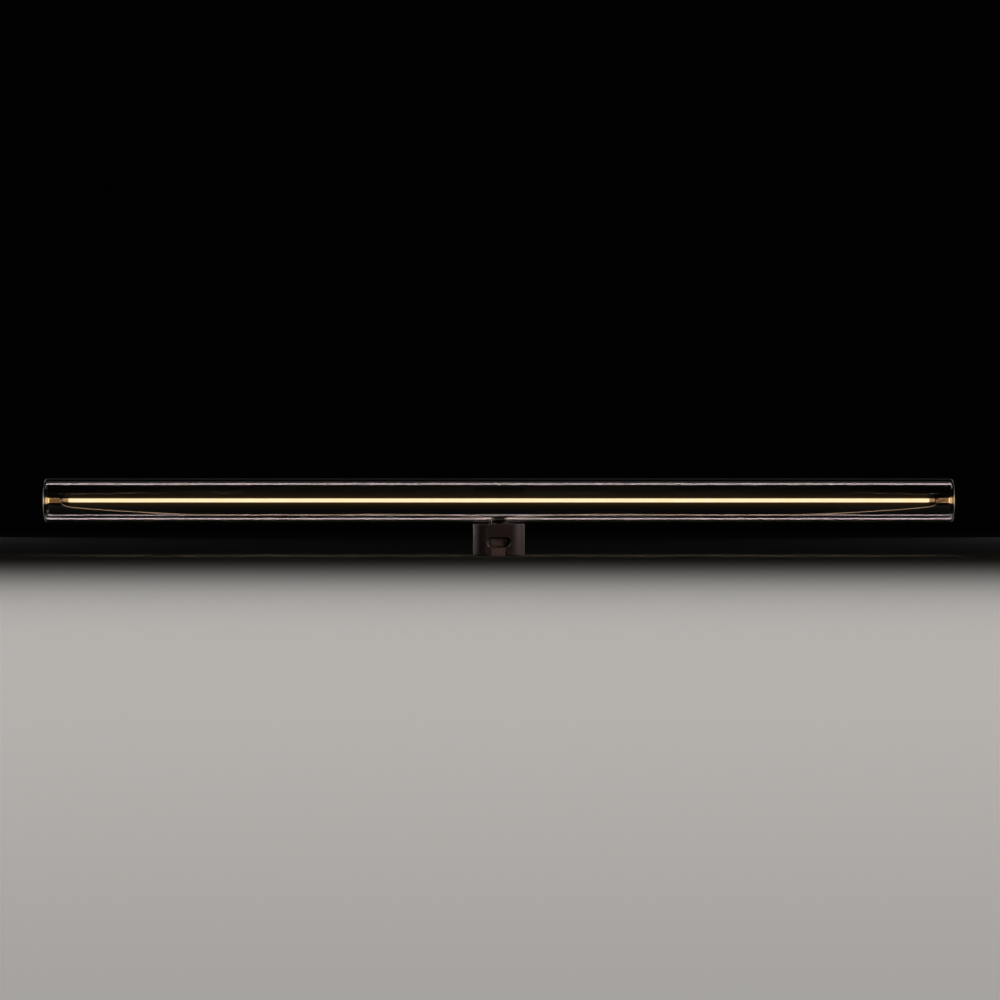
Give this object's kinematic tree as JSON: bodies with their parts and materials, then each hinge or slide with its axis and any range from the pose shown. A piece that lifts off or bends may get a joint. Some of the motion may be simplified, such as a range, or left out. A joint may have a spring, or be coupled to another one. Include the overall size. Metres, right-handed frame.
{
  "type": "linear led tube lamp",
  "caption": "Long clear glass tube lamp with a straight warm LED filament on its axis, fed through an oval plastic peg cap with a contact pocket in each long side under its middle.",
  "frame": {"origin": "centre of the cap's flat bottom face, which seats in the lampholder", "axes": "+X along the glass tube, +Z from the cap up to the tube, +Y across the tube so that the front contact pocket faces -Y"},
  "size_m": [0.5, 0.024, 0.0424],
  "materials": {
    "clear_glass": "clear polished",
    "stem_glass": "clear fire-polished",
    "rod_glass": "clear, lit amber by the filament",
    "support_wire": "drawn nickel wire",
    "ferrule_metal": "crimped sheet",
    "carrier_metal": "rolled strip",
    "phosphor_coat": "warm, lit",
    "lead_wire": "drawn nickel wire",
    "cap_plastic": "satin moulded, brown-black",
    "cement": "matt",
    "contact_metal": "nickel-washed strip",
    "board_laminate": "satin solder mask",
    "chip_plastic": "fine moulded",
    "fuse_body": "satin lacquer",
    "capacitor_can": "sleeved can"
  },
  "bodies": {
    "root": {"glass_tube": "clear_glass", "glass_stem": "stem_glass", "end_rod_left": "rod_glass", "end_rod_right": "rod_glass", "support_wire_left": "support_wire", "support_wire_right": "support_wire", "ferrule_left": "ferrule_metal", "ferrule_right": "ferrule_metal", "filament_carrier": "carrier_metal", "filament_coat": "phosphor_coat", "lead_wire_left": "lead_wire", "lead_wire_right": "lead_wire", "cap_shell": "cap_plastic", "cap_bottom": "cap_plastic", "neck_cement": "cement", "contact_front": "contact_metal", "contact_back": "contact_metal", "driver_board": "board_laminate", "bridge_rectifier": "chip_plastic", "driver_chip": "chip_plastic", "fuse_resistor": "fuse_body", "smoothing_capacitor": "capacitor_can"}
  },
  "joints": []
}
